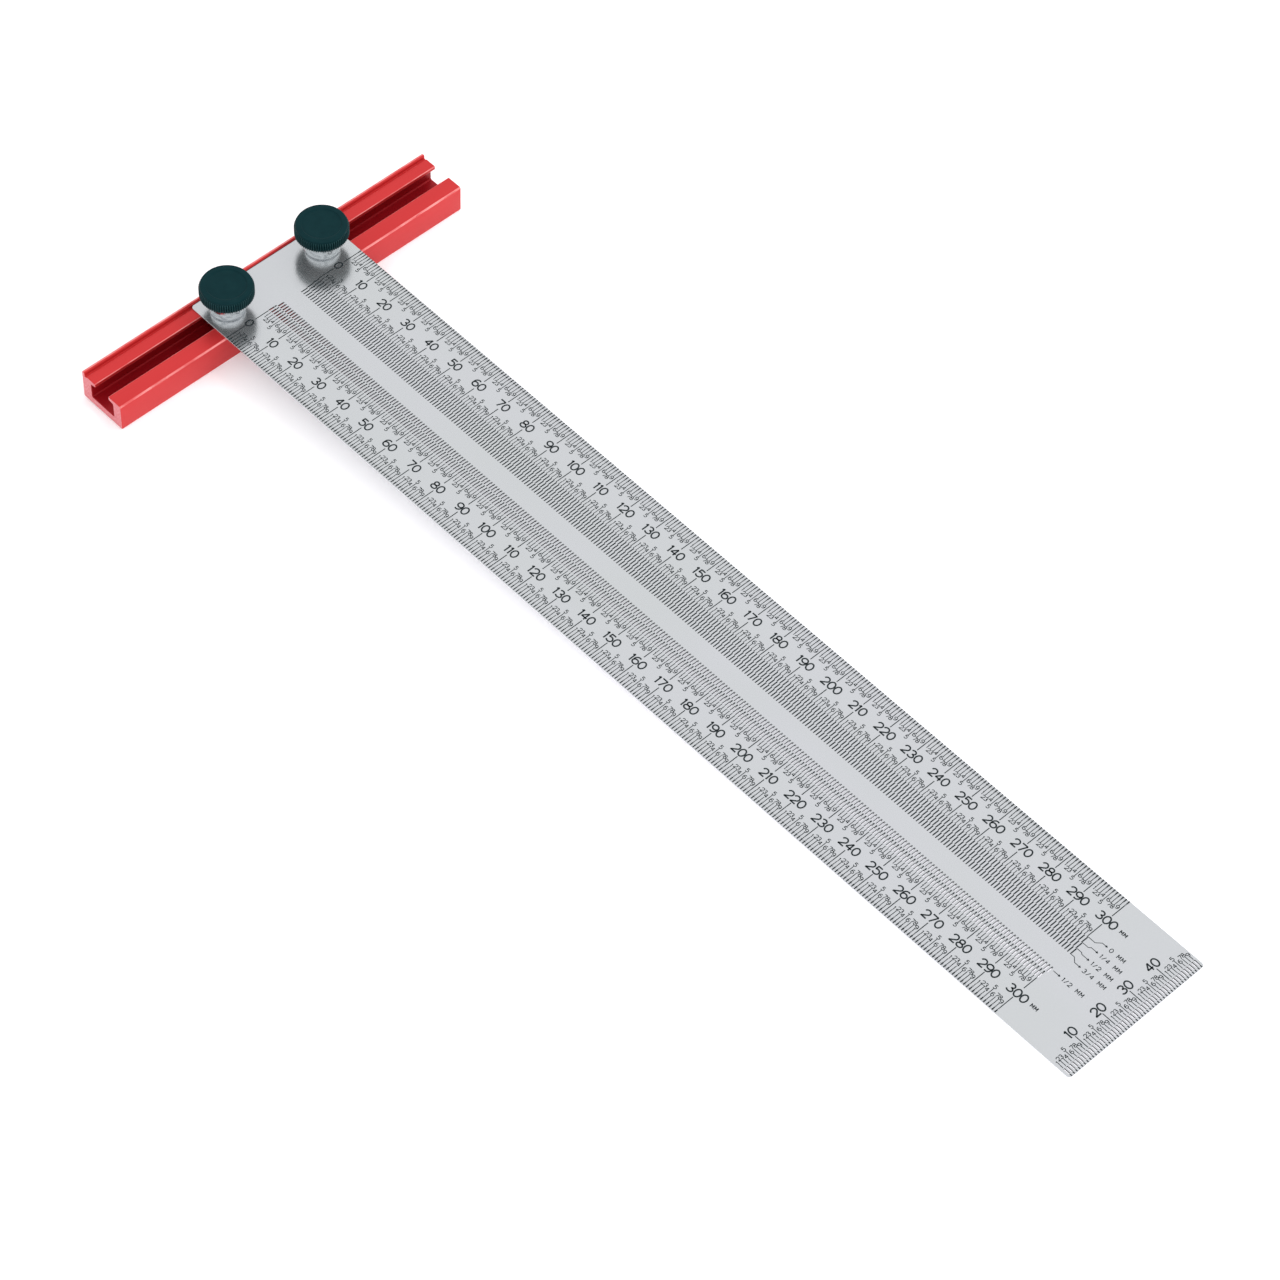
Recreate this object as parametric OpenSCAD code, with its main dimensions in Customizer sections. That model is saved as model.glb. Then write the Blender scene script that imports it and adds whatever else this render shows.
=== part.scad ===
// Rule-type T square: a flat graduated steel blade clamped across an aluminium head.
//
// +X runs along the blade from the head to the tip, +Y along the head, +Z up.
// The origin is the centre of the fence face, the front face of the head, which is
// also the plane of the blade's zero graduations.
// Two thumb screws pass through the blade into square nuts in the head's T slot.
// Left and right are as seen from the tip of the blade, looking at the head.

/* [Head] */
// Length of the head along Y
head_l = 126; // [110:1:160]
// Width of the head along X
head_w = 17; // [16:0.5:20]
// Height of the head from its base to the seat of the blade
head_h = 9.5; // [9.5:0.5:12]
// Radius of the head's long outside edges
head_edge_r = 0.7; // [0.3:0.1:1]
// Width of the bead along the rear edge of the head
bead_w = 1.2; // [0.8:0.1:1.4]
// Height of the bead above the seat of the blade
bead_h = 1; // [0.8:0.1:1.5]
// Width of the relief groove in front of the bead
groove_w = 0.8; // [0.4:0.1:1]
// Depth of the relief groove
groove_d = 0.4; // [0.2:0.1:0.6]

/* [T slot] */
// Distance from the fence face back to the slot's centre line
slot_offset = 8.3; // [8:0.1:8.8]
// Width of the slot's mouth between its lips
mouth_w = 5.8; // [5.6:0.1:6.5]
// Width of the channel under the lips
channel_w = 9.6; // [9.6:0.1:10]
// Thickness of each lip at its free edge
lip_edge_t = 1.3; // [1:0.1:1.5]
// Thickness of each lip where it joins the wall, and depth of the nuts' seat
lip_root_t = 1.7; // [1.6:0.1:2]
// Depth of the channel floor below the seat of the blade
floor_depth = 6.8; // [6.8:0.1:7.2]
// Bevel between the channel floor and each wall
floor_bevel = 0.3; // [0.1:0.1:0.3]

/* [Blade] */
// Distance from the fence face to the tip of the blade
blade_reach = 326; // [320:1:340]
// Distance from the fence face to the rear end of the blade
blade_tail = 15.6; // [15:0.1:15.6]
// Width of the blade
blade_w = 50; // [48:1:60]
// Thickness of the blade
blade_t = 0.5; // [0.4:0.1:0.6]
// Radius of the blade's corners
blade_corner_r = 1; // [0.5:0.1:2]

/* [Marking slots] */
// Width of each marking slot
slot_w = 0.5; // [0.4:0.05:0.6]
// Length of each marking slot
slot_l = 1.9; // [1.5:0.1:2.1]
// Last graduation along the blade
scale_l = 300; // [100:50:300]
// Distance from the blade's centre line to the row of whole millimetres
whole_row_y = 8.35; // [8:0.05:9]
// Distance from the blade's centre line to the row of half millimetres
half_row_y = 5.45; // [5:0.05:6]
// Distance from the fence face to the row of slots across the tip
tip_row_x = 324.1; // [310:0.1:324.5]

/* [Clamps] */
// Distance between the two thumb screws
clamp_pitch = 35; // [30:1:38]
// Diameter of the screw stud
stud_d = 5; // [4:0.5:5]
// Distance from the blade's top down to the end of the stud
stud_drop = 6.8; // [6:0.1:6.9]
// Radial clearance round the stud in the blade
hole_gap = 0.1; // [0.05:0.01:0.1]
// Radial clearance round the stud in the nut
nut_gap = 0.05; // [0.02:0.01:0.1]
// Diameter of the metal collar of the thumb screw, which bears on the blade
collar_d = 10.3; // [9.5:0.1:11]
// Height of the visible part of the collar
collar_h = 6; // [5.5:0.1:7]
// Diameter of the collar's spigot inside the cap
spigot_d = 8; // [7:0.5:9]
// Height of the spigot
spigot_h = 2.5; // [2:0.1:2.8]
// Diameter of the knurled cap over the tips of its teeth
cap_d = 15.8; // [15:0.1:17]
// Height of the cap
cap_h = 4; // [3.8:0.1:5]
// Height of the plain rounded rim above the cap's knurled band
cap_rim_h = 0.7; // [0.5:0.1:1]
// Radius of the dished middle of the cap's top face
cap_dish_r = 5.6; // [4:0.1:6]
// Depth of the dish
cap_dish_d = 0.3; // [0.1:0.1:0.5]
// Number of teeth round the cap
knurl_teeth = 72; // [48:1:84]
// Depth of the knurling
knurl_d = 0.3; // [0.2:0.05:0.4]
// How far the rim stands back from the bottom of the knurling
rim_step = 0.1; // [0.05:0.05:0.3]
// Side length of the square nut
nut_side = 9.3; // [9:0.1:9.4]
// Thickness of the square nut
nut_t = 3.2; // [3:0.1:3.3]

/* [Hidden] */
$fn = 64;

seat_z = head_h / 2;                  // top of the head, where the blade lies
blade_top_z = seat_z + blade_t;
cap_z = blade_top_z + collar_h;
slot_x = -slot_offset;                // centre line of the T slot
bead_x = bead_w / 2 - head_w;
left_y = -clamp_pitch / 2;
right_y = clamp_pitch / 2;
stud_in_collar = 5;                   // how far the stud is screwed up into the collar
end_bevel = 0.5;                      // bevel at the stud's free end
cut = 1;                              // how far a cutting shape runs past the solid

red_anodised = "firebrick";
satin_steel = "gainsboro";
bright_steel = "silver";
zinc_steel = "darkgray";
dark_plastic = "darkslategray";

// A rectangle from the origin corner with all four corners round.
module round_rect(w, h, r) {
    translate([r, 0]) square([w - 2 * r, h]);
    translate([0, r]) square([w, h - 2 * r]);
    for (x = [r, w - r], y = [r, h - r])
        translate([x, y]) circle(r);
}

// Half of the T slot, from its centre line outwards, with 0 at the seat of the blade.
module half_slot() {
    polygon([
        [0, cut],
        [mouth_w / 2, cut],
        [mouth_w / 2, -lip_edge_t],
        [channel_w / 2, -lip_root_t],
        [channel_w / 2, floor_bevel - floor_depth],
        [channel_w / 2 - floor_bevel, -floor_depth],
        [0, -floor_depth]
    ]);
}

// Cross-section of the extruded head, drawn with X across and Y upwards.
module head_section() {
    difference() {
        union() {
            translate([-head_w, -head_h / 2]) round_rect(head_w, head_h, head_edge_r);
            translate([-head_w, seat_z - 2 * bead_w])
                square([bead_w, 2 * bead_w + bead_h - bead_w / 2]);
            translate([bead_x, seat_z + bead_h - bead_w / 2]) circle(bead_w / 2);
        }
        translate([bead_w - head_w, seat_z - groove_d]) square([groove_w, groove_d + cut]);
        for (side = [0, 1])
            translate([slot_x, seat_z]) mirror([side, 0]) half_slot();
    }
}

module head() {
    color(red_anodised)
        translate([0, head_l / 2, 0]) rotate([90, 0, 0])
            linear_extrude(height = head_l) head_section();
}

// Rows of pencil slots at 1 mm pitch: whole and half millimetres along the blade,
// and whole millimetres across its tip.
module marking_slots() {
    for (i = [0 : scale_l]) {
        translate([i, -whole_row_y]) square([slot_w, slot_l], center = true);
        translate([i + 0.5, -half_row_y]) square([slot_w, slot_l], center = true);
    }
    for (i = [1 : blade_w - 1])
        translate([tip_row_x, i - blade_w / 2]) square([slot_l, slot_w], center = true);
}

module blade() {
    color(satin_steel)
        translate([0, 0, seat_z]) linear_extrude(height = blade_t) difference() {
            translate([-blade_tail, -blade_w / 2])
                round_rect(blade_tail + blade_reach, blade_w, blade_corner_r);
            for (y = [left_y, right_y])
                translate([slot_x, y]) circle(stud_d / 2 + hole_gap);
            marking_slots();
        }
}

// Straight-knurled cap: a toothed band under a rounded rim with a dished top.
module cap(y) {
    band_h = cap_h - cap_rim_h;
    rim_r = cap_d / 2 - knurl_d - rim_step;
    tooth = 360 / knurl_teeth;
    color(dark_plastic) translate([slot_x, y, cap_z]) difference() {
        union() {
            linear_extrude(height = band_h)
                polygon([for (i = [0 : knurl_teeth - 1], k = [0, 1])
                    let (r = cap_d / 2 - k * knurl_d, a = (i + k / 2) * tooth)
                    [r * cos(a), r * sin(a)]]);
            translate([0, 0, band_h]) rotate_extrude() {
                square([rim_r - cap_rim_h, cap_rim_h]);
                intersection() {
                    translate([rim_r - cap_rim_h, 0]) circle(cap_rim_h);
                    square([rim_r, cap_rim_h]);
                }
            }
        }
        translate([0, 0, cap_h - cap_dish_d]) cylinder(r = cap_dish_r, h = cut);
        translate([0, 0, -cut]) cylinder(d = spigot_d, h = spigot_h + cut);
    }
}

module collar(y) {
    color(bright_steel) translate([slot_x, y, blade_top_z]) difference() {
        union() {
            cylinder(d = collar_d, h = collar_h);
            cylinder(d = spigot_d, h = collar_h + spigot_h);
        }
        translate([0, 0, -cut]) cylinder(d = stud_d, h = stud_in_collar + cut);
    }
}

module stud(y) {
    color(zinc_steel) translate([slot_x, y, blade_top_z - stud_drop]) {
        translate([0, 0, end_bevel])
            cylinder(d = stud_d, h = stud_drop + stud_in_collar - end_bevel);
        cylinder(d1 = stud_d - 2 * end_bevel, d2 = stud_d, h = end_bevel);
    }
}

module square_nut(y) {
    color(zinc_steel)
        translate([slot_x, y, seat_z - lip_root_t - nut_t]) difference() {
            translate([-nut_side / 2, -nut_side / 2, 0]) cube([nut_side, nut_side, nut_t]);
            translate([0, 0, -cut]) cylinder(r = stud_d / 2 + nut_gap, h = nut_t + 2 * cut);
        }
}

head();
blade();
cap(left_y);  // left_cap
collar(left_y);  // left_collar
stud(left_y);  // left_stud
square_nut(left_y);  // left_square_nut
cap(right_y);  // right_cap
collar(right_y);  // right_collar
stud(right_y);  // right_stud
square_nut(right_y);  // right_square_nut
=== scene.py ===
"""Looks of the rule-type T square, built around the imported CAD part.

Shapes are drawn in millimetres in the part's own frame and turned into metres when their mesh
is made: +X runs along the blade from the head to the tip, +Y along the head and +Z up. The
origin is the centre of the fence face, which is also the plane of the zero graduations.
"""

import math

import bmesh
import bpy
from mathutils import Matrix, Vector
from mathutils.geometry import delaunay_2d_cdt


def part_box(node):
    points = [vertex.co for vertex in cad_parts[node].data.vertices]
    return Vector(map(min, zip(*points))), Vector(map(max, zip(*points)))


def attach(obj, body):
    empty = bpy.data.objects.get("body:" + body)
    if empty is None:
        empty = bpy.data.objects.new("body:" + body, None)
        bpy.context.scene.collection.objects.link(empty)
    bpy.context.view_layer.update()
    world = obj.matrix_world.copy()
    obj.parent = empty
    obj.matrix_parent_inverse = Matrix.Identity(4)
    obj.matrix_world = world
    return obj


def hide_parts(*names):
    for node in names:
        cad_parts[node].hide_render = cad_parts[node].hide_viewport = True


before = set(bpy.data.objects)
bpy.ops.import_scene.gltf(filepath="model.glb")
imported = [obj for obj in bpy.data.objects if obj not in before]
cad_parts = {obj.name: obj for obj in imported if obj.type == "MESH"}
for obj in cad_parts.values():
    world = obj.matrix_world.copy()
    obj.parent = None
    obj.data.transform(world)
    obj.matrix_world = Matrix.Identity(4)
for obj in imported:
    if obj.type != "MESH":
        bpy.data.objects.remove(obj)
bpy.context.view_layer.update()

MM = 0.001


# ---------------------------------------------------------------- sizes from the CAD part

def box_mm(node):
    """Lowest and highest corner of a CAD node in millimetres."""
    low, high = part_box(node)
    return low / MM, high / MM


HEAD_LOW, HEAD_HIGH = box_mm("head")
BLADE_LOW, BLADE_HIGH = box_mm("blade")
SEAT_Z = BLADE_LOW.z          # top of the head, under the blade
BLADE_TOP = BLADE_HIGH.z
TIP_X = BLADE_HIGH.x
HALF_WIDTH = round(BLADE_HIGH.y)                     # the tip scale's middle value
TIP_VALUES = range(1, 2 * HALF_WIDTH)
SIDES = ("left", "right")


def clamp_axis(side):
    """Place of one thumb screw's centre line."""
    low, high = box_mm(side + "_collar")
    return Vector(((low.x + high.x) / 2, (low.y + high.y) / 2, 0))


SLOT_X = clamp_axis("left").x

# The head's section.
HEAD_EDGE_R = 0.6
MOUTH_HALF = 2.9              # half the width of the slot's mouth
CHANNEL_HALF = 4.8
LIP_EDGE_T = 1.3
LIP_ROOT_T = 1.7
LIP_EDGE_R = 0.28
LIP_ROOT_R = 0.15
FLOOR_DEPTH = 6.8
FLOOR_BEVEL = 0.3
BEAD_W = 1.2
GROOVE_W = 0.8
GROOVE_D = 0.4
GROOVE_EDGE_R = 0.15
GROOVE_FLOOR_R = 0.12
SAW_BEVEL = 0.15              # broken edge round the sawn ends
PAINTED_HIGHLIGHT_SIDE = 0.3               # the rounded edges have sides shorter than this; only such sides can get the painted highlight

# The blade and its openings.
BLADE_CORNER_R = 1.0
BLADE_BEVEL = 0.06
SEAT_GAP = 0.004              # keeps the blade's underside off the head's own surface
SLOT_W = 0.5
SLOT_L = 1.9
SCALE_L = 300
WHOLE_ROW_Y = -8.35           # slots on whole millimetres
HALF_ROW_Y = -5.45            # slots on half millimetres
TIP_ROW_X = 324.1             # slots across the tip
PIN_R = 0.2                   # pencil point holes
PIN_ROWS = ((9.1, 0.0), (6.75, 0.25), (4.4, 0.5), (2.05, 0.75))   # (y, shift along x)
EDGE_PIN_ROWS = (23.35, -23.45)

# The clamps.
STUD_R = 2.5
HOLE_GAP = 0.1                # round the stud in the blade
NUT_GAP = 0.05                # round the stud in the nut
STUD_IN_COLLAR = 5.0
SPIGOT_R = 4.0                # the collar's spigot and the cap's bore
SPIGOT_H = 2.5
ROUND_STEPS = 48              # sides of each bore for a stud
NUT_CORNER_R = 0.5
NUT_BEVEL = 0.25

# The marks.
MARK_RISE = 0.01              # how far the ink stands above the steel
MARK_DEPTH = 0.04
FINE_LINE = 0.22
TEN_LINE = 0.27
EDGE_LINE = 0.36
ROW_LINE = 0.38               # between the pencil holes of neighbouring rows
HIGH_EDGE_START = 23.62       # where the lines out to the blade's long edges start
LOW_EDGE_START = -23.72
PIN_LINE_END = 2.15           # from a row of pencil holes to the far end of its lines
HALF_LINE = (1.02, 1.25)      # from the middle of a half-millimetre slot to its line's ends
WHOLE_LINE = (1.05, 1.8)      # the same for a whole-millimetre slot
TIP_LINE_CLEAR = 0.15         # from a slot across the tip to its line
DIGIT_H = 1.2
DIGIT_STROKE = 0.215
DIGIT_STEPS = 4               # how finely the curves of a character are cut
DIGIT_CLEAR = 0.12            # gap between the end of a graduation and its digit
NUMERAL_H = 2.5
NUMERAL_STROKE = 0.45
NUMERAL_GAP = 0.42
NUMERAL_STEPS = 8
NUMERAL_ROWS = (16.4, -16.5)
TIP_NUMERAL_X = 317.0
UNIT_X = 304.7                # the unit after the last figure of each row
UNIT_H = 1.15
UNIT_STROKE = 0.25
UNIT_GAP = 0.45
LABEL_H = 1.25
LABEL_STROKE = 0.22
LABEL_GAP = 0.5
LABEL_START = 1.5             # from the tip of a leader line to its label
LABEL_STEPS = 6
LEADER_LINE = 0.2
ARROW = ((0.0, 0.7), (0.18, 0.5), (0.36, 0.28))      # (distance, width) of each step of the head
ARROW_STEP = 0.22


# ---------------------------------------------------------------- gathering and making meshes

class Shape:
    """Vertices in millimetres and faces, gathered before they become one mesh."""

    def __init__(self):
        self.verts = []
        self.faces = []
        self.slots = []

    def add(self, verts, faces, slot=0):
        start = len(self.verts)
        self.verts.extend(verts)
        self.faces.extend(tuple(start + i for i in face) for face in faces)
        self.slots.extend([slot] * len(faces))

    def loft(self, sections, closed=False, cap_slot=0):
        """Joins sections of equal length into a skin, capped at both ends or closed on itself."""
        count = len(sections)
        size = len(sections[0])
        verts = [point for section in sections for point in section]
        faces = []
        for s in range(count if closed else count - 1):
            here = s * size
            there = (s + 1) % count * size
            for i in range(size):
                j = (i + 1) % size
                faces.append((here + i, here + j, there + j, there + i))
        self.add(verts, faces)
        if not closed:
            start = len(self.verts) - len(verts)
            last = start + (count - 1) * size
            self.faces.append(tuple(range(start + size - 1, start - 1, -1)))
            self.faces.append(tuple(range(last, last + size)))
            self.slots.extend([cap_slot] * 2)


def make_piece(name, shape, materials, body, cad_nodes=(), crease=30):
    """Turns a shape into an object that rides on a CAD body and stands for CAD nodes."""
    mesh = bpy.data.meshes.new(name)
    mesh.from_pydata([Vector(v) * MM for v in shape.verts], [], shape.faces)
    mesh.polygons.foreach_set("material_index", shape.slots)
    for material in materials:
        mesh.materials.append(material)
    work = bmesh.new()
    work.from_mesh(mesh)
    bmesh.ops.recalc_face_normals(work, faces=work.faces)
    work.to_mesh(mesh)
    work.free()
    mesh.polygons.foreach_set("use_smooth", [True] * len(mesh.polygons))
    mesh.set_sharp_from_angle(angle=math.radians(crease))
    piece = bpy.data.objects.new(name, mesh)
    bpy.context.scene.collection.objects.link(piece)
    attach(piece, body)
    if cad_nodes:
        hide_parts(*cad_nodes)
    return piece


# ---------------------------------------------------------------- outlines

def arc(cx, cy, rx, ry, start, end, steps):
    """Points on an ellipse from one angle to another, in degrees."""
    angles = [math.radians(start + (end - start) * i / steps) for i in range(steps + 1)]
    return [(cx + rx * math.cos(a), cy + ry * math.sin(a)) for a in angles]


def ring(cx, cy, r, count):
    """A closed circle of points."""
    return arc(cx, cy, r, r, 0, 360, count)[:-1]


def rectangle(cx, cy, w, h):
    """The corners of a rectangle, counterclockwise."""
    return [(cx - w / 2, cy - h / 2), (cx + w / 2, cy - h / 2),
            (cx + w / 2, cy + h / 2), (cx - w / 2, cy + h / 2)]


def filleted(corners, step=15):
    """Closed outline through (x, y, radius) corners, each rounded by its radius."""
    outline = []
    count = len(corners)
    for i, (x, y, r) in enumerate(corners):
        here = Vector((x, y))
        back = (Vector(corners[i - 1][:2]) - here).normalized()
        ahead = (Vector(corners[(i + 1) % count][:2]) - here).normalized()
        if r == 0:
            outline.append((x, y))
            continue
        half = back.angle(ahead) / 2
        centre = here + (back + ahead).normalized() * (r / math.sin(half))
        first = here + back * (r / math.tan(half)) - centre
        last = here + ahead * (r / math.tan(half)) - centre
        turn = first.angle_signed(last)
        steps = max(1, round(abs(math.degrees(turn)) / step))
        for k in range(steps + 1):
            spoke = first.copy()
            spoke.rotate(Matrix.Rotation(-turn * k / steps, 2))
            outline.append(tuple(centre + spoke))
    return outline


def inset(outline, distance):
    """A counterclockwise outline moved inwards by a small distance."""
    moved = []
    count = len(outline)
    for i in range(count):
        here = Vector(outline[i])
        into = (here - Vector(outline[i - 1])).normalized()
        out = (Vector(outline[(i + 1) % count]) - here).normalized()
        normal = Vector((-into.y - out.y, into.x + out.x)).normalized()
        lean = max(0.5, normal.dot(Vector((-into.y, into.x))))
        moved.append(tuple(here + normal * (distance / lean)))
    return moved


# ---------------------------------------------------------------- solids

def plate(shape, outline, holes, z0, z1, bevel, wall_slot=0):
    """A flat plate with convex holes right through it and a bevelled convex outline."""
    top = inset(outline, bevel)
    loops = [top] + holes
    points = []
    edges = []
    owner = []
    starts = []
    for k, loop in enumerate(loops):
        start = len(points)
        starts.append(start)
        points.extend(Vector(p) for p in loop)
        owner.extend([k] * len(loop))
        edges.extend((start + i, start + (i + 1) % len(loop)) for i in range(len(loop)))
    flat, _, triangles, origins, _, _ = delaunay_2d_cdt(points, edges, [], 0, 1e-6, True)
    place = [ids[0] for ids in origins]
    solid = []
    for face in triangles:
        ids = [place[i] for i in face]
        if owner[ids[0]] == 0 or len({owner[i] for i in ids}) > 1:
            solid.append(ids)
    count = len(points)
    rim = len(outline)
    verts = [(p.x, p.y, z1) for p in points] + [(p.x, p.y, z0) for p in points]
    verts += [(x, y, z1 - bevel) for x, y in outline] + [(x, y, z0 + bevel) for x, y in outline]
    faces = [tuple(ids) for ids in solid] + [tuple(count + i for i in ids[::-1]) for ids in solid]
    flat_faces = len(faces)
    for start, loop in zip(starts[1:], holes):
        for i in range(len(loop)):
            a = start + i
            b = start + (i + 1) % len(loop)
            faces.append((b, a, count + a, count + b))
    wall_faces = len(faces) - flat_faces
    levels = [0, 2 * count, 2 * count + rim, count]
    for high, low in zip(levels, levels[1:]):
        for i in range(rim):
            j = (i + 1) % rim
            faces.append((high + j, high + i, low + i, low + j))
    shape.add(verts, faces)
    first = len(shape.slots) - len(faces) + flat_faces
    shape.slots[first:first + wall_faces] = [wall_slot] * wall_faces


def turned(shape, axis, profile, segments, tooth=None):
    """A turned solid. profile holds (r, z) or (r, z, depth) with depth for tooth(angle) to cut."""
    sections = []
    for entry in profile:
        r, z = entry[:2]
        depth = entry[2] if len(entry) > 2 else 0
        section = []
        for i in range(segments):
            angle = 2 * math.pi * i / segments
            reach = r - depth * tooth(angle) if depth else r
            section.append((axis.x + reach * math.cos(angle),
                            axis.y + reach * math.sin(angle), z))
        sections.append(section)
    shape.loft(sections)


def stroke(shape, points, width, closed=False):
    """A thin line of ink along flat points, from just inside the steel to just above it."""
    low = BLADE_TOP - MARK_DEPTH
    high = BLADE_TOP + MARK_RISE
    points = [Vector(p) for p in points]
    count = len(points)
    sections = []
    for i, here in enumerate(points):
        before = points[i - 1] if i or closed else None
        after = points[(i + 1) % count] if i < count - 1 or closed else None
        into = (here - before).normalized() if before is not None else None
        out = (after - here).normalized() if after is not None else into
        into = out if into is None else into
        along = (into + out).normalized()
        lean = max(0.6, along.dot(into))
        side = Vector((-along.y, along.x)) * (width / 2 / lean)
        a = here + side
        b = here - side
        sections.append([(a.x, a.y, high), (b.x, b.y, high), (b.x, b.y, low), (a.x, a.y, low)])
    shape.loft(sections, closed)


# ---------------------------------------------------------------- single-stroke lettering

GLYPH_W = 0.72                # width of most characters, for a height of 1
SPACE_W = 0.6


def six(steps):
    """The stroke of a 6, which turned upside down is a 9."""
    back = arc(0.42, 0.5, 0.42, 0.5, 62, 170, steps)
    return back + arc(0.36, 0.31, 0.36, 0.31, 165, 525, 2 * steps)


def glyph(character, steps):
    """(open strokes, closed strokes, width) of one character on a unit height."""
    w = GLYPH_W
    if character == "0":
        return [], [arc(w / 2, 0.5, w / 2, 0.5, 0, 360, 3 * steps)[:-1]], w
    if character == "1":
        return [[(0.2, -0.03), (0.2, 1.03)], [(0.2, 1.0), (0.0, 0.8)]], [], 0.3
    if character == "2":
        hook = arc(0.36, 0.68, 0.34, 0.32, 170, -40, 2 * steps)
        return [hook + [(0.04, 0.0)], [(-0.02, 0.0), (w, 0.0)]], [], w
    if character == "3":
        upper = arc(0.34, 0.755, 0.3, 0.245, 155, -90, 2 * steps)
        lower = arc(0.34, 0.26, 0.36, 0.26, 90, -155, 2 * steps)
        return [upper, lower], [], w
    if character == "4":
        return [[(0.52, 0.0), (0.52, 1.0)], [(0.52, 1.0), (0.0, 0.3)],
                [(-0.03, 0.3), (w, 0.3)]], [], w
    if character == "5":
        bowl = arc(0.34, 0.33, 0.37, 0.33, 135, -150, 2 * steps)
        return [[(0.66, 1.0), (0.1, 1.0)], [(0.12, 1.04), (0.08, 0.55)], bowl], [], w
    if character == "6":
        return [six(steps)], [], w
    if character == "7":
        return [[(0.0, 1.0), (w, 1.0)], [(w, 1.02), (0.26, 0.0)]], [], w
    if character == "8":
        upper = arc(w / 2, 0.75, 0.28, 0.25, 0, 360, 2 * steps)[:-1]
        lower = arc(w / 2, 0.26, 0.36, 0.26, 0, 360, 2 * steps)[:-1]
        return [], [upper, lower], w
    if character == "9":
        return [[(w - x, 1 - y) for x, y in six(steps)]], [], w
    if character == "M":
        return [[(0.0, 0.0), (0.0, 1.03)], [(0.0, 1.0), (0.36, 0.3)],
                [(0.36, 0.3), (w, 1.0)], [(w, 1.03), (w, 0.0)]], [], w
    if character == "/":
        return [[(0.0, 0.0), (0.5, 1.0)]], [], 0.5
    return [], [], SPACE_W


def lettering(shape, text, x, y, height, width, gap, steps, centred=True, up=(0, 1)):
    """Writes text about (x, y), or starting there, with its tops towards up."""
    right = (up[1], -up[0])
    glyphs = [glyph(character, steps) for character in text]
    span = sum(g[2] for g in glyphs) * height + gap * (len(glyphs) - 1)
    pen = -span / 2 if centred else 0
    for opened, looped, advance in glyphs:
        for strokes, closed in ((opened, False), (looped, True)):
            for line in strokes:
                placed = []
                for u, v in line:
                    along = pen + u * height
                    rise = (v - 0.5) * height
                    placed.append((x + along * right[0] + rise * up[0],
                                   y + along * right[1] + rise * up[1]))
                stroke(shape, placed, width, closed)
        pen += advance * height + gap


# ---------------------------------------------------------------- the blade's marks

# One row of graduations: where it starts, which way it runs, the length of its 10 mm lines,
# and how far from the start its digits stand: 1 4 6 9 nearest, 2 3 7 8 next, 5 furthest.
SCALES = (
    {"start": 23.1, "way": -1, "ten": 4.8, "near": 1.75, "next": 2.6, "far": 3.85},
    {"start": 9.35, "way": 1, "ten": 5.2, "near": 1.75, "next": 2.45, "far": 3.75},
    {"start": -9.5, "way": -1, "ten": 4.8, "near": 1.85, "next": 2.75, "far": 3.9},
    {"start": -23.2, "way": 1, "ten": 5.0, "near": 1.8, "next": 2.5, "far": 3.85},
)
TIP_SCALE = {"start": 322.9, "way": -1, "ten": 4.4, "near": 1.85, "next": 2.65, "far": 3.7}
DIGIT_RANK = {1: "near", 4: "near", 6: "near", 9: "near",
              2: "next", 3: "next", 7: "next", 8: "next", 5: "far"}


def graduation(scale, value):
    """How long one graduation is."""
    last = value % 10
    if last == 0:
        return scale["ten"]
    return scale[DIGIT_RANK[last]] - DIGIT_H / 2 - DIGIT_CLEAR


def cross_line(shape, x, y0, y1, width=FINE_LINE):
    """A line across the blade."""
    stroke(shape, [(x, y0), (x, y1)], width)


def long_line(shape, y, x0, x1, width=FINE_LINE):
    """A line along the blade."""
    stroke(shape, [(x0, y), (x1, y)], width)


def side_graduations():
    """Every line of the four scales along the blade and of the rows between them."""
    shape = Shape()
    for x in range(SCALE_L + 1):
        width = TEN_LINE if x % 10 == 0 else FINE_LINE
        for scale in SCALES:
            end = scale["start"] + scale["way"] * graduation(scale, x)
            cross_line(shape, x, scale["start"], end, width)
        cross_line(shape, x, HIGH_EDGE_START, BLADE_HIGH.y - BLADE_BEVEL, EDGE_LINE)
        cross_line(shape, x, LOW_EDGE_START, BLADE_LOW.y + BLADE_BEVEL, EDGE_LINE)
        for y, shift in PIN_ROWS[1:]:
            cross_line(shape, x + shift, y + PIN_R, y + PIN_LINE_END, ROW_LINE)
        cross_line(shape, x + 0.5, HALF_ROW_Y + HALF_LINE[0], HALF_ROW_Y + HALF_LINE[1], ROW_LINE)
        cross_line(shape, x, WHOLE_ROW_Y + WHOLE_LINE[0], WHOLE_ROW_Y + WHOLE_LINE[1], ROW_LINE)
    return shape


def tip_graduations():
    """The scale across the tip of the blade."""
    shape = Shape()
    for value in TIP_VALUES:
        y = value - HALF_WIDTH
        width = TEN_LINE if value % 10 == 0 else FINE_LINE
        end = TIP_SCALE["start"] - graduation(TIP_SCALE, value)
        long_line(shape, y, end, TIP_SCALE["start"], width)
        long_line(shape, y, TIP_ROW_X + SLOT_L / 2 + TIP_LINE_CLEAR, TIP_X - BLADE_BEVEL,
                  EDGE_LINE)
    return shape


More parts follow.
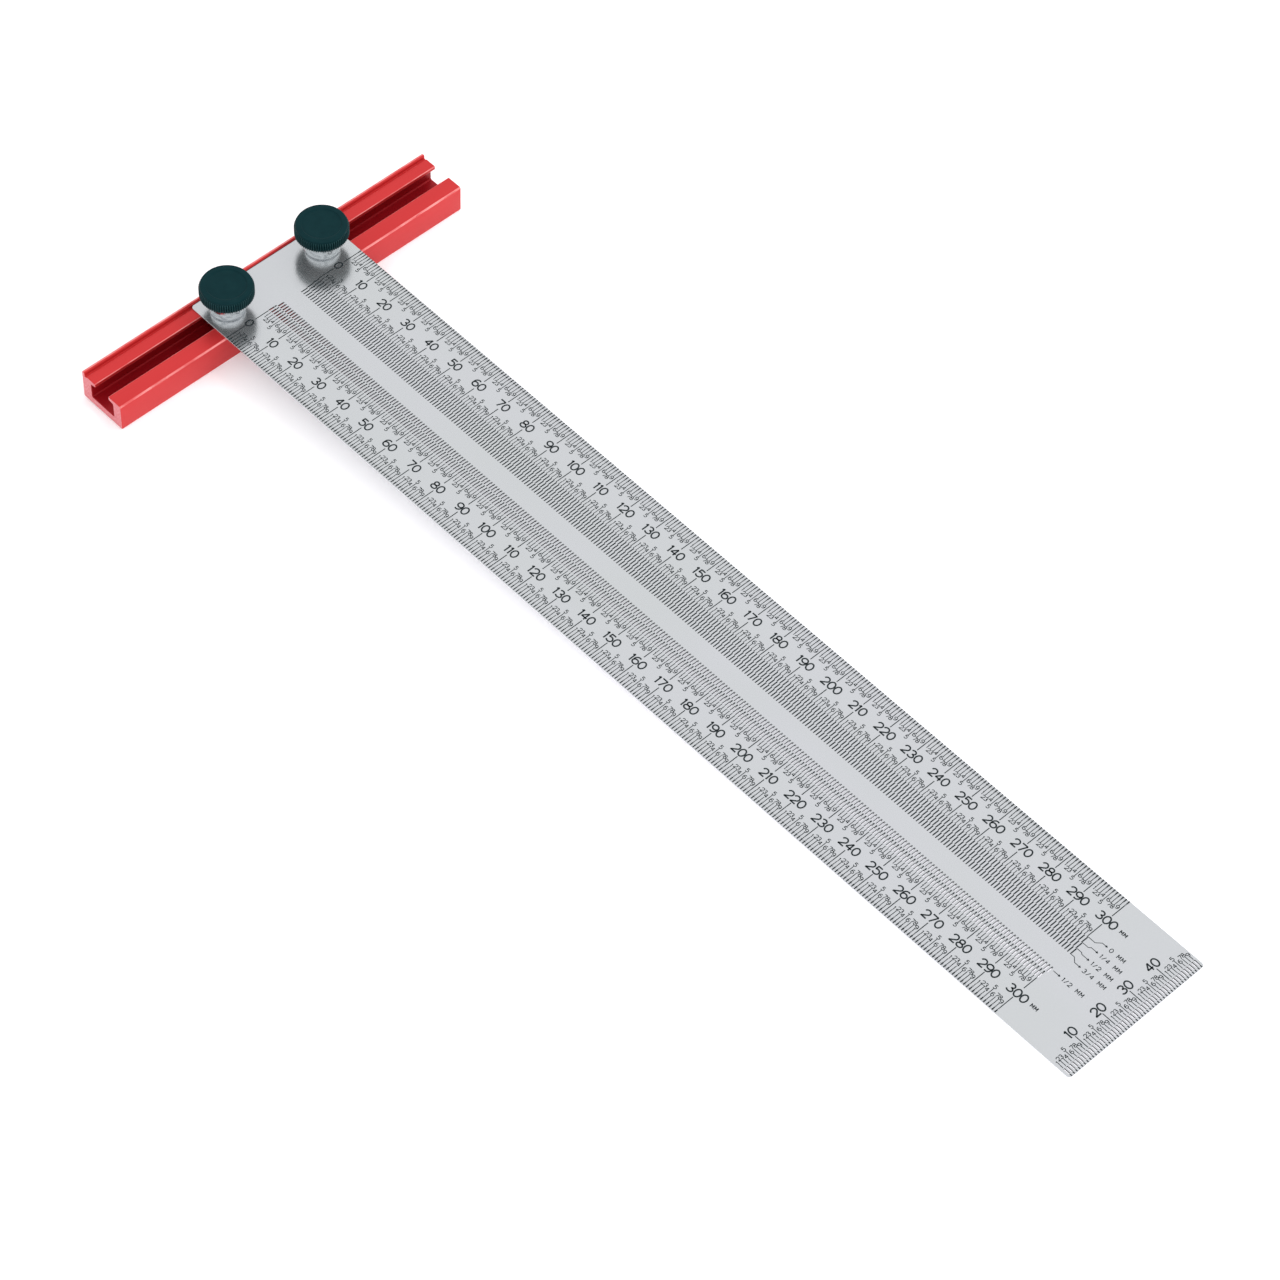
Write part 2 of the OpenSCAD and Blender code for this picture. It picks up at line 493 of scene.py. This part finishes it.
def small_digits():
    """The units digits beside the graduations."""
    shape = Shape()
    for x in range(1, SCALE_L):
        if x % 10:
            for scale in SCALES:
                y = scale["start"] + scale["way"] * scale[DIGIT_RANK[x % 10]]
                lettering(shape, str(x % 10), x, y, DIGIT_H, DIGIT_STROKE, 0, DIGIT_STEPS)
    for value in TIP_VALUES:
        if value % 10:
            x = TIP_SCALE["start"] - TIP_SCALE[DIGIT_RANK[value % 10]]
            lettering(shape, str(value % 10), x, value - HALF_WIDTH, DIGIT_H, DIGIT_STROKE, 0,
                      DIGIT_STEPS, up=(-1, 0))
    return shape


def numerals():
    """The figures at each centimetre."""
    shape = Shape()
    for y in NUMERAL_ROWS:
        for x in range(0, SCALE_L + 1, 10):
            lettering(shape, str(x), x, y, NUMERAL_H, NUMERAL_STROKE, NUMERAL_GAP,
                      NUMERAL_STEPS)
        lettering(shape, "MM", UNIT_X, y, UNIT_H, UNIT_STROKE, UNIT_GAP, LABEL_STEPS,
                  centred=False)
    for value in range(10, 2 * HALF_WIDTH, 10):
        lettering(shape, str(value), TIP_NUMERAL_X, value - HALF_WIDTH, NUMERAL_H,
                  NUMERAL_STROKE, NUMERAL_GAP, NUMERAL_STEPS, up=(-1, 0))
    return shape


# Leader lines from the ends of the hole rows to their labels.
LEADERS = (
    ([(299.9, 9.1), (302.7, 9.1), (304.0, 10.4), (305.2, 10.4)], "0 MM"),
    ([(300.3, 6.75), (302.5, 6.75), (303.1, 7.3), (304.8, 7.3)], "1/4 MM"),
    ([(300.6, 4.4), (302.4, 4.4), (302.9, 4.0), (304.8, 4.0)], "1/2 MM"),
    ([(300.8, 2.05), (302.1, 2.05), (303.3, 0.85), (304.8, 0.85)], "3/4 MM"),
    ([(301.4, -4.95), (303.2, -4.95)], "1/2 MM"),
)


def row_labels():
    """What each row of holes and slots reads, at its far end."""
    shape = Shape()
    for line, label in LEADERS:
        stroke(shape, line, LEADER_LINE)
        x, y = line[-1]
        for reach, width in ARROW:
            long_line(shape, y, x + reach, x + reach + ARROW_STEP, width)
        lettering(shape, label, x + LABEL_START, y, LABEL_H, LABEL_STROKE, LABEL_GAP,
                  LABEL_STEPS, centred=False)
    return shape


# ---------------------------------------------------------------- the parts

def blade_shape():
    """The blade with its stud holes, marking slots and pencil point holes."""
    r = BLADE_CORNER_R
    outline = filleted([(BLADE_LOW.x, BLADE_LOW.y, r), (TIP_X, BLADE_LOW.y, r),
                        (TIP_X, BLADE_HIGH.y, r), (BLADE_LOW.x, BLADE_HIGH.y, r)])
    holes = [ring(clamp_axis(side).x, clamp_axis(side).y, STUD_R + HOLE_GAP, ROUND_STEPS)
             for side in SIDES]
    for x in range(SCALE_L + 1):
        holes.append(rectangle(x, WHOLE_ROW_Y, SLOT_W, SLOT_L))
        holes.append(rectangle(x + 0.5, HALF_ROW_Y, SLOT_W, SLOT_L))
        holes.extend(ring(x + shift, y, PIN_R, 8) for y, shift in PIN_ROWS)
        holes.extend(ring(x, y, PIN_R, 8) for y in EDGE_PIN_ROWS)
    for value in TIP_VALUES:
        holes.append(rectangle(TIP_ROW_X, value - HALF_WIDTH, SLOT_L, SLOT_W))
    shape = Shape()
    plate(shape, outline, holes, SEAT_Z + SEAT_GAP, BLADE_TOP, BLADE_BEVEL, wall_slot=1)
    return shape


def head_section():
    """The head's extruded section as (x, z) points, counterclockwise seen from -Y."""
    rear = HEAD_LOW.x
    base = HEAD_LOW.z
    bead_top = HEAD_HIGH.z
    e = HEAD_EDGE_R
    lip = LIP_EDGE_R
    channel = [(MOUTH_HALF, 0, lip), (MOUTH_HALF, LIP_EDGE_T, lip),
               (CHANNEL_HALF, LIP_ROOT_T, LIP_ROOT_R),
               (CHANNEL_HALF, FLOOR_DEPTH - FLOOR_BEVEL, 0),
               (CHANNEL_HALF - FLOOR_BEVEL, FLOOR_DEPTH, 0)]
    corners = [(rear, base, e), (HEAD_HIGH.x, base, e), (HEAD_HIGH.x, SEAT_Z, e)]
    corners += [(SLOT_X + x, SEAT_Z - depth, r) for x, depth, r in channel]
    corners += [(SLOT_X - x, SEAT_Z - depth, r) for x, depth, r in reversed(channel)]
    bead_r = BEAD_W / 2 - 0.01
    corners += [(rear + BEAD_W + GROOVE_W, SEAT_Z, GROOVE_EDGE_R),
                (rear + BEAD_W + GROOVE_W, SEAT_Z - GROOVE_D, GROOVE_FLOOR_R),
                (rear + BEAD_W, SEAT_Z - GROOVE_D, GROOVE_FLOOR_R),
                (rear + BEAD_W, bead_top, bead_r), (rear, bead_top, bead_r)]
    return filleted(corners)


FLANK, SAWN, PAINTED_HIGHLIGHT, CHANNEL = range(4)      # material slots of the head: flanks, sawn ends, painted edge highlights and the slot's painted shade
CHANNEL_EDGE = 0.05           # how far past the channel's sizes a side still belongs to it
BEAD_CREST = 0.35             # rise over length, below which the bead's side is its crest
EDGE_MIDDLE = 0.6             # how far from 45 degrees a rounded edge still gets the painted highlight


def flank_slot(before, here, after):
    """Material slot of the side of the section that runs from here to after."""
    side = Vector(after) - Vector(here)
    into = Vector(here) - Vector(before)
    x = abs((here[0] + after[0]) / 2 - SLOT_X)
    depth = SEAT_Z - (here[1] + after[1]) / 2
    # Sides inside the T slot take the slot's painted shade.
    if x < CHANNEL_HALF + CHANNEL_EDGE and LIP_EDGE_T < depth < FLOOR_DEPTH + CHANNEL_EDGE:
        return CHANNEL
    # Painted highlight: the middle of each convex rounded edge and the bead's crest take the pale
    # edge colour; other sides stay plain.
    if side.length > PAINTED_HIGHLIGHT_SIDE or into.x * side.y - into.y * side.x <= 0:
        return FLANK
    if depth < -BEAD_W / 4:
        return PAINTED_HIGHLIGHT if abs(side.y) < BEAD_CREST * side.length else FLANK
    return PAINTED_HIGHLIGHT if abs(abs(side.x) - abs(side.y)) < EDGE_MIDDLE * side.length else FLANK


def head_shape():
    """The extrusion, with its ends and flanks in their material slots."""
    section = head_section()
    small = inset(section, SAW_BEVEL)
    sections = []
    for y, outline in ((HEAD_LOW.y, small), (HEAD_LOW.y + SAW_BEVEL, section),
                       (HEAD_HIGH.y - SAW_BEVEL, section), (HEAD_HIGH.y, small)):
        sections.append([(x, y, z) for x, z in outline])
    shape = Shape()
    shape.loft(sections, cap_slot=SAWN)
    count = len(section)
    for i in range(count):
        slot = flank_slot(section[i - 1], section[i], section[(i + 1) % count])
        for s in range(len(sections) - 1):
            shape.slots[s * count + i] = slot
    return shape


KNURL_TEETH = 72
KNURL_DEPTH = 0.4
SAMPLES_PER_TOOTH = 6
RIM_STEP = 0.36               # how far the rim stands back from the tips of the teeth
RIM_EDGE_R = 0.42
HUB_R = 1.2                   # the flat middle of the cap's top and of its bore


def knurl(angle):
    """1 at the root of a tooth and 0 at its crest."""
    return 0.5 + 0.5 * math.cos(KNURL_TEETH * angle)


def cap_shape(side):
    """The knurled cap with its rounded rim, ringed and dished top and bored underside."""
    low, high = box_mm(side + "_cap")
    tip_r = (high.x - low.x) / 2
    rim_r = tip_r - RIM_STEP
    z0 = low.z
    z1 = high.z
    bore_z = z0 + SPIGOT_H
    d = KNURL_DEPTH
    bored = [(HUB_R, bore_z), (SPIGOT_R, bore_z), (SPIGOT_R, z0 + 0.25), (SPIGOT_R + 0.25, z0)]
    band = [(tip_r - 0.75, z0), (tip_r - 0.5, z0 + 0.06, d * 0.3), (tip_r - 0.12, z0 + 0.22, d),
            (tip_r, z0 + 0.4, d), (tip_r, z1 - 0.98, d), (tip_r - 0.04, z1 - 0.84, d),
            (tip_r - 0.16, z1 - 0.7, d * 0.6), (tip_r - 0.3, z1 - 0.6, d * 0.15)]
    rim = [(rim_r, z1 - 0.55)]
    rim += arc(rim_r - RIM_EDGE_R, z1 - RIM_EDGE_R, RIM_EDGE_R, RIM_EDGE_R, 0, 85, 7)
    dish = [(7.0, z1 - 0.03), (6.9, z1 - 0.01), (6.1, z1), (5.85, z1 - 0.04), (5.75, z1 - 0.14),
            (5.6, z1 - 0.24), (5.35, z1 - 0.28), (5.0, z1 - 0.26), (3.0, z1 - 0.3),
            (HUB_R, z1 - 0.3)]
    profile = bored + band + rim + dish
    shape = Shape()
    around = KNURL_TEETH * SAMPLES_PER_TOOTH
    turned(shape, clamp_axis(side), profile, around, tooth=knurl)
    toothed = [k for k, entry in enumerate(profile) if len(entry) > 2]
    middle = SAMPLES_PER_TOOTH // 2
    for k in toothed[1:-1]:
        for i in range(around):
            if i % SAMPLES_PER_TOOTH in (middle - 1, middle):
                shape.slots[k * around + i] = 1          # the crests get a painted highlight
    return shape


COLLAR_CORE_R = 0.2
COLLAR_STEPS = 96


def collar_shape(side):
    """The turned collar: a plain column standing on the blade, with its spigot."""
    low, high = box_mm(side + "_collar")
    r = (high.x - low.x) / 2
    z0 = low.z
    shoulder = box_mm(side + "_cap")[0].z
    bore_z = z0 + STUD_IN_COLLAR
    profile = [(COLLAR_CORE_R, bore_z), (STUD_R, bore_z), (STUD_R, z0), (r - 0.5, z0),
               (r - 0.46, z0 + 0.14), (r - 0.12, z0 + 0.36), (r, z0 + 0.5), (r, shoulder - 0.3),
               (r - 0.06, shoulder - 0.12), (r - 0.2, shoulder), (SPIGOT_R, shoulder),
               (SPIGOT_R - 0.02, high.z - 0.2), (SPIGOT_R - 0.2, high.z), (COLLAR_CORE_R, high.z)]
    shape = Shape()
    turned(shape, clamp_axis(side), profile, COLLAR_STEPS)
    return shape


THREAD_PITCH = 0.8
THREAD_DEPTH = 0.42
THREAD_LAYERS = 8             # cuts of the mesh in one turn of the thread
THREAD_STEPS = 40             # sides round the thread
STUD_TAPER = 0.6


def stud_shape(side):
    """The screw's stud with a helical thread and a tapered start."""
    low, high = box_mm(side + "_stud")
    axis = clamp_axis(side)
    rows = round((high.z - low.z) / (THREAD_PITCH / THREAD_LAYERS))
    sections = []
    for row in range(rows + 1):
        z = low.z + (high.z - low.z) * row / rows
        limit = STUD_R - STUD_TAPER + min(STUD_TAPER, z - low.z)
        section = []
        for i in range(THREAD_STEPS):
            turn = i / THREAD_STEPS
            phase = ((z - low.z) / THREAD_PITCH - turn) % 1
            ridge = STUD_R - THREAD_DEPTH * abs(2 * phase - 1)
            reach = min(ridge, limit)
            angle = 2 * math.pi * turn
            section.append((axis.x + reach * math.cos(angle),
                            axis.y + reach * math.sin(angle), z))
        sections.append(section)
    shape = Shape()
    shape.loft(sections)
    return shape


def nut_shape(side):
    """The square nut with broken corners."""
    low, high = box_mm(side + "_square_nut")
    axis = clamp_axis(side)
    r = NUT_CORNER_R
    outline = filleted([(low.x, low.y, r), (high.x, low.y, r), (high.x, high.y, r),
                        (low.x, high.y, r)])
    bore = ring(axis.x, axis.y, STUD_R + NUT_GAP, ROUND_STEPS)
    shape = Shape()
    plate(shape, outline, [bore], low.z, high.z, NUT_BEVEL)
    return shape


# ---------------------------------------------------------------- materials

class Finish:
    """A node material whose patterns are laid out in millimetres in the part's frame."""

    def __init__(self, name, colour, metallic, roughness):
        self.material = bpy.data.materials.new(name)
        self.material.use_nodes = True
        self.tree = self.material.node_tree
        self.shader = self.tree.nodes["Principled BSDF"]
        self.coords = self.tree.nodes.new("ShaderNodeTexCoord").outputs["Object"]
        self.colour = colour
        self.set("Base Color", (*colour, 1))
        self.set("Metallic", metallic)
        self.set("Roughness", roughness)

    def set(self, socket, value):
        self.shader.inputs[socket].default_value = value

    def link(self, output, socket):
        self.tree.links.new(output, self.shader.inputs[socket])

    def noise(self, size, detail=3.0):
        """Noise from 0 to 1 whose grains measure size, (x, y, z) in millimetres."""
        mapping = self.tree.nodes.new("ShaderNodeMapping")
        mapping.inputs["Scale"].default_value = [1 / (s * MM) for s in size]
        self.tree.links.new(self.coords, mapping.inputs["Vector"])
        noise = self.tree.nodes.new("ShaderNodeTexNoise")
        noise.inputs["Scale"].default_value = 1
        noise.inputs["Detail"].default_value = detail
        self.tree.links.new(mapping.outputs["Vector"], noise.inputs["Vector"])
        return noise.outputs["Fac"]

    def spread(self, output, low, high, to_low, to_high):
        """A value carried from one range to another and held there."""
        node = self.tree.nodes.new("ShaderNodeMapRange")
        node.inputs["From Min"].default_value = low
        node.inputs["From Max"].default_value = high
        node.inputs["To Min"].default_value = to_low
        node.inputs["To Max"].default_value = to_high
        self.tree.links.new(output, node.inputs["Value"])
        return node.outputs["Result"]

    def tint(self, amount, colour):
        """Mixes a colour into the base colour by an amount."""
        node = self.tree.nodes.new("ShaderNodeMix")
        node.data_type = "RGBA"
        self.tree.links.new(amount, node.inputs["Factor"])
        node.inputs["A"].default_value = (*self.colour, 1)
        node.inputs["B"].default_value = (*colour, 1)
        self.link(node.outputs["Result"], "Base Color")

    def clouds(self, size, low, high, colour, detail=3.0):
        """Tints with noise whose values from low to high run from none of the colour to all."""
        self.tint(self.spread(self.noise(size, detail), low, high, 0, 1), colour)

    def uneven(self, size, smooth, rough, detail=3.0):
        """Lets the roughness wander between two values."""
        self.link(self.spread(self.noise(size, detail), 0.3, 0.7, smooth, rough), "Roughness")

    def bump(self, height, depth, under=None):
        """Raises the surface by height times depth millimetres."""
        node = self.tree.nodes.new("ShaderNodeBump")
        node.inputs["Strength"].default_value = 1
        node.inputs["Distance"].default_value = depth * MM
        self.tree.links.new(height, node.inputs["Height"])
        if under is not None:
            self.tree.links.new(under, node.inputs["Normal"])
        self.link(node.outputs["Normal"], "Normal")
        return node.outputs["Normal"]


def satin_steel():
    """Matt-ground stainless steel with a fine lengthwise grain and faint handling marks."""
    finish = Finish("satin_stainless_steel", (0.60, 0.612, 0.642), 0.85, 0.2)
    finish.clouds((45, 22, 10), 0.3, 0.7, (0.582, 0.602, 0.617), 2)
    finish.uneven((14, 8, 5), 0.17, 0.23, 4)
    under = finish.bump(finish.noise((9, 0.12, 0.5)), 0.0004)
    finish.bump(finish.noise((0.4, 0.4, 0.4)), 0.0002, under)
    return finish.material


def etched_ink():
    """Black filling in etched marks, slightly uneven."""
    finish = Finish("etched_black", (0.012, 0.018, 0.021), 0.0, 0.55)
    finish.set("Specular IOR Level", 0.2)
    finish.clouds((0.8, 0.8, 0.8), 0.4, 0.75, (0.024, 0.032, 0.036))
    return finish.material


def etched_wall():
    """Painted shade on the walls of the etched slots and pencil holes: the steel made nearly black
    there.
    """
    finish = Finish("painted_shade_slot_walls", (0.05, 0.058, 0.06), 0.3, 0.6)
    finish.set("Specular IOR Level", 0.2)
    finish.clouds((1.5, 1.5, 0.4), 0.4, 0.75, (0.1, 0.11, 0.115))
    return finish.material


DYE_CLOUDS = (9, 26, 9)       # how large the clouds in the red dye are, in millimetres


def red_finish(name, colour, roughness):
    """Red anodised aluminium with faint extrusion lines."""
    finish = Finish(name, colour, 0.45, roughness)
    finish.set("Specular IOR Level", 0.4)
    finish.uneven((2, 9, 2), roughness - 0.02, roughness + 0.02)
    under = finish.bump(finish.noise((0.22, 60, 0.22), 2), 0.0008)
    finish.bump(finish.noise((0.12, 0.12, 0.12), 2), 0.002, under)
    return finish


def red_anodised():
    """The flat faces of the head."""
    finish = red_finish("red_anodised_aluminium", (0.60, 0.032, 0.034), 0.36)
    finish.clouds(DYE_CLOUDS, 0.35, 0.7, (0.57, 0.028, 0.03))
    return finish.material


def red_channel():
    """Painted shade inside the T slot: the same red, made much darker on the slot's walls and
    floor.
    """
    finish = red_finish("red_anodised_slot_painted_shade", (0.36, 0.006, 0.012), 0.4)
    finish.clouds(DYE_CLOUDS, 0.35, 0.7, (0.3, 0.004, 0.009))
    return finish.material


def red_worn_edge():
    """The same anodising, paler and pinker as a painted highlight along the crests of the rounded
    long edges and the bead.
    """
    finish = red_finish("red_anodised_painted_edge_highlight", (0.72, 0.11, 0.11), 0.28)
    finish.clouds((2, 7, 2), 0.35, 0.65, (0.90, 0.32, 0.31))
    return finish.material


def red_sawn():
    """The anodised saw cut at each end of the head."""
    finish = Finish("red_anodised_sawn", (0.64, 0.13, 0.15), 0.4, 0.5)
    marks = finish.noise((0.16, 1, 0.7), 2)
    finish.tint(finish.spread(marks, 0.45, 0.65, 0, 1), (0.78, 0.36, 0.38))
    under = finish.bump(marks, 0.016)
    finish.bump(finish.noise((0.2, 0.2, 0.2)), 0.012, under)
    return finish.material


def knob_finish(name, colour, cloud_colour):
    """Dark moulded plastic with a fine matt texture."""
    finish = Finish(name, colour, 0.0, 0.42)
    finish.set("Specular IOR Level", 0.06)
    finish.clouds((3, 3, 3), 0.35, 0.7, cloud_colour)
    finish.uneven((1.5, 1.5, 1.5), 0.36, 0.5)
    finish.bump(finish.noise((0.12, 0.12, 0.12)), 0.004)
    return finish.material


def knob_plastic():
    """The caps' plastic."""
    return knob_finish("dark_moulded_plastic", (0.0022, 0.0215, 0.0255), (0.0034, 0.026, 0.03))


def rubbed_plastic():
    """The same plastic, paler and greener as a painted highlight on the crests of the knurling."""
    return knob_finish("rubbed_plastic", (0.03, 0.075, 0.08), (0.012, 0.045, 0.05))


def bright_steel():
    """Turned metal with faint tool rings and a mottled shine."""
    finish = Finish("bright_turned_steel", (0.78, 0.81, 0.82), 1.0, 0.15)
    finish.clouds((1.5, 1.5, 0.9), 0.4, 0.65, (0.52, 0.56, 0.57))
    finish.uneven((2, 2, 0.6), 0.1, 0.22)
    under = finish.bump(finish.noise((30, 30, 0.08), 2), 0.003)
    finish.bump(finish.noise((0.3, 0.3, 0.3)), 0.004, under)
    return finish.material


def zinc_steel():
    """Bright zinc plating with a cloudy lustre."""
    finish = Finish("zinc_plated_steel", (0.58, 0.60, 0.62), 1.0, 0.32)
    finish.clouds((1.2, 1.2, 1.2), 0.35, 0.7, (0.46, 0.48, 0.50))
    finish.uneven((0.8, 0.8, 0.8), 0.25, 0.42)
    finish.bump(finish.noise((0.2, 0.2, 0.2)), 0.006)
    return finish.material


# ---------------------------------------------------------------- building the part

def build_head():
    """The head, one piece with four materials."""
    materials = [red_anodised(), red_sawn(), red_worn_edge(), red_channel()]
    make_piece("head_extrusion", head_shape(), materials, "t_head", ["head"])


def build_blade(steel, ink):
    """The blade and its marks."""
    make_piece("blade_plate", blade_shape(), [steel, etched_wall()], "blade_carriage", ["blade"])
    marks = (("blade_side_graduations", side_graduations),
             ("blade_tip_graduations", tip_graduations),
             ("blade_small_digits", small_digits), ("blade_numerals", numerals),
             ("blade_row_labels", row_labels))
    for name, draw in marks:
        make_piece(name, draw(), [ink], "blade_carriage")


def build_clamp(side, plastic, crest_highlight, bright, zinc):
    """One thumb screw on its own body and its square nut on another."""
    screw = side + "_screw"
    parts = (("cap", cap_shape, [plastic, crest_highlight], screw, "knob_plastic"),
             ("collar", collar_shape, [bright], screw, "bright_steel"),
             ("stud", stud_shape, [zinc], screw, "zinc_steel"),
             ("square_nut", nut_shape, [zinc], side + "_nut", "zinc_steel"))
    for part, draw, materials, body, slot in parts:
        node = side + "_" + part
        make_piece(node + "_detail", draw(side), materials, body, [node])


build_head()
build_blade(satin_steel(), etched_ink())
clamp_materials = (knob_plastic(), rubbed_plastic(), bright_steel(), zinc_steel())
for side in SIDES:
    build_clamp(side, *clamp_materials)


# ---------------------------------------------------------------- floor, light and camera

FLOOR_REACH = 6.0             # metres from the middle of the floor to its edges
FLOOR_GAP = 0.1               # millimetres between the floor and what stands on it
LEAST_GLOW = 0.16             # painted light: the floor glows, brightest under the tip
MOST_GLOW = 0.5
GLOW_START = -150             # in millimetres along the floor from the middle of the blade
GLOW_END = 150


def build_floor():
    """A pale floor that meets the head's front lower edge and the underside of the tip, and glows
    as painted light.
    """
    slope = math.atan2(BLADE_LOW.z - HEAD_LOW.z, TIP_X)
    middle = Vector((TIP_X / 2, 0, (BLADE_LOW.z + HEAD_LOW.z) / 2)) * MM
    corners = [(x, y, 0) for x, y in rectangle(0, 0, 2 * FLOOR_REACH, 2 * FLOOR_REACH)]
    mesh = bpy.data.meshes.new("floor")
    mesh.from_pydata(corners, [], [(0, 1, 2, 3)])
    floor = bpy.data.objects.new("floor", mesh)
    floor.location = middle - Vector((0, 0, FLOOR_GAP)) * MM
    floor.rotation_euler = (0, -slope, 0)
    finish = Finish("pale_floor", (0.92, 0.92, 0.93), 0.0, 0.9)
    finish.set("Specular IOR Level", 0.1)
    # Painted light: a faint lavender glow, growing towards the tip, lightens the shade under the
    # blade and in its slots and tints the shadows lilac.
    finish.set("Emission Color", (0.98, 0.95, 1.0, 1))
    along = finish.tree.nodes.new("ShaderNodeSeparateXYZ")
    finish.tree.links.new(finish.coords, along.inputs["Vector"])
    glow = finish.spread(along.outputs["X"], GLOW_START * MM, GLOW_END * MM, LEAST_GLOW,
                         MOST_GLOW)
    finish.link(glow, "Emission Strength")
    finish.clouds((400, 400, 400), 0.3, 0.7, (0.93, 0.925, 0.935))
    mesh.materials.append(finish.material)
    bpy.context.scene.collection.objects.link(floor)


LIGHT_TARGET = (0.12, 0, 0)
# Each light's name, place and size in metres, and power in watts.
LIGHTS = (("key", (0.5, 1.3, 1.5), 1.2, 14), ("fill", (0.9, -0.9, 1.2), 1.0, 6))


def area_light(name, place, size, power):
    """A soft square light aimed at the part, which the polished blade doesn't mirror."""
    data = bpy.data.lights.new(name, "AREA")
    data.shape = "SQUARE"
    data.size = size
    data.energy = power
    light = bpy.data.objects.new(name, data)
    light.location = place
    light.rotation_mode = "QUATERNION"
    light.rotation_quaternion = (Vector(LIGHT_TARGET) - Vector(place)).to_track_quat("-Z", "Y")
    light.visible_glossy = False
    bpy.context.scene.collection.objects.link(light)


HORIZON_LIGHT = 0.78
ZENITH_LIGHT = 1.04
ZENITH_RISE = 0.8             # how far up, out of 1, the surroundings reach the zenith's light


def build_world():
    """Even white surroundings, a little brighter overhead than at the horizon."""
    world = bpy.data.worlds.new("studio")
    world.use_nodes = True
    tree = world.node_tree
    coords = tree.nodes.new("ShaderNodeTexCoord")
    parts = tree.nodes.new("ShaderNodeSeparateXYZ")
    ramp = tree.nodes.new("ShaderNodeMapRange")
    ramp.inputs["From Min"].default_value = 0
    ramp.inputs["From Max"].default_value = ZENITH_RISE
    ramp.inputs["To Min"].default_value = HORIZON_LIGHT
    ramp.inputs["To Max"].default_value = ZENITH_LIGHT
    tree.links.new(coords.outputs["Generated"], parts.inputs["Vector"])
    tree.links.new(parts.outputs["Z"], ramp.inputs["Value"])
    tree.links.new(ramp.outputs["Result"], tree.nodes["Background"].inputs["Strength"])
    tree.nodes["Background"].inputs["Color"].default_value = (1, 1, 1, 1)
    bpy.context.scene.world = world


def build_light():
    """The surroundings and two soft lights."""
    build_world()
    for light in LIGHTS:
        area_light(*light)
    bpy.context.scene.view_settings.view_transform = "Standard"


# The camera's place in millimetres, its axes, and its lens and sensor in millimetres.
CAMERA_PLACE = (643.117, -506.175, 915.719)
CAMERA_RIGHT = (0.68288, 0.72988, 0.03083)
CAMERA_UP = (-0.59344, 0.52963, 0.60606)
CAMERA_BACK = (0.42603, -0.43216, 0.79482)
CAMERA_LENS = 120.9
CAMERA_SENSOR = 36


def build_camera():
    """A long lens that looks down on the tip from the left."""
    data = bpy.data.cameras.new("camera")
    data.lens = CAMERA_LENS
    data.sensor_width = CAMERA_SENSOR
    camera = bpy.data.objects.new("camera", data)
    turn = Matrix((CAMERA_RIGHT, CAMERA_UP, CAMERA_BACK)).transposed().to_4x4()
    camera.matrix_world = Matrix.Translation(Vector(CAMERA_PLACE) * MM) @ turn
    bpy.context.scene.collection.objects.link(camera)
    bpy.context.scene.camera = camera


build_floor()
build_light()
build_camera()
